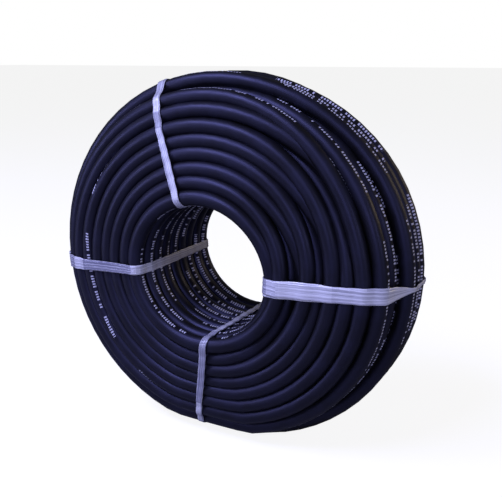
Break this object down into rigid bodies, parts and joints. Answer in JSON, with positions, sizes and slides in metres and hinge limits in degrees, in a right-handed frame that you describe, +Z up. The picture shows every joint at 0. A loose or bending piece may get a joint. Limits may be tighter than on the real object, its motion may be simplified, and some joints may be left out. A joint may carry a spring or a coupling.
{
  "type": "rubber hose coil",
  "caption": "Bound coil of black rubber hose standing on its edge, tied through the eye with clear stretch film.",
  "frame": {"origin": "on the ground, below the middle of the coil, at the centre of its flattened foot", "axes": "+Y along the coil's axis, away from its front face, and +Z up"},
  "size_m": [0.4064, 0.147, 0.3843],
  "materials": {
    "cover_rubber": "satin",
    "braid_yarn": "woven",
    "liner_rubber": "matte",
    "stretch_film": "gloss"
  },
  "bodies": {
    "root": {"hose_coil": "cover_rubber", "outer_end_cover": "cover_rubber", "outer_end_braid": "braid_yarn", "outer_end_liner": "liner_rubber", "inner_end_cover": "cover_rubber", "inner_end_braid": "braid_yarn", "inner_end_liner": "liner_rubber", "film_tie_right": "stretch_film", "film_tie_top": "stretch_film", "film_tie_left": "stretch_film", "film_tie_bottom": "stretch_film"}
  },
  "joints": []
}
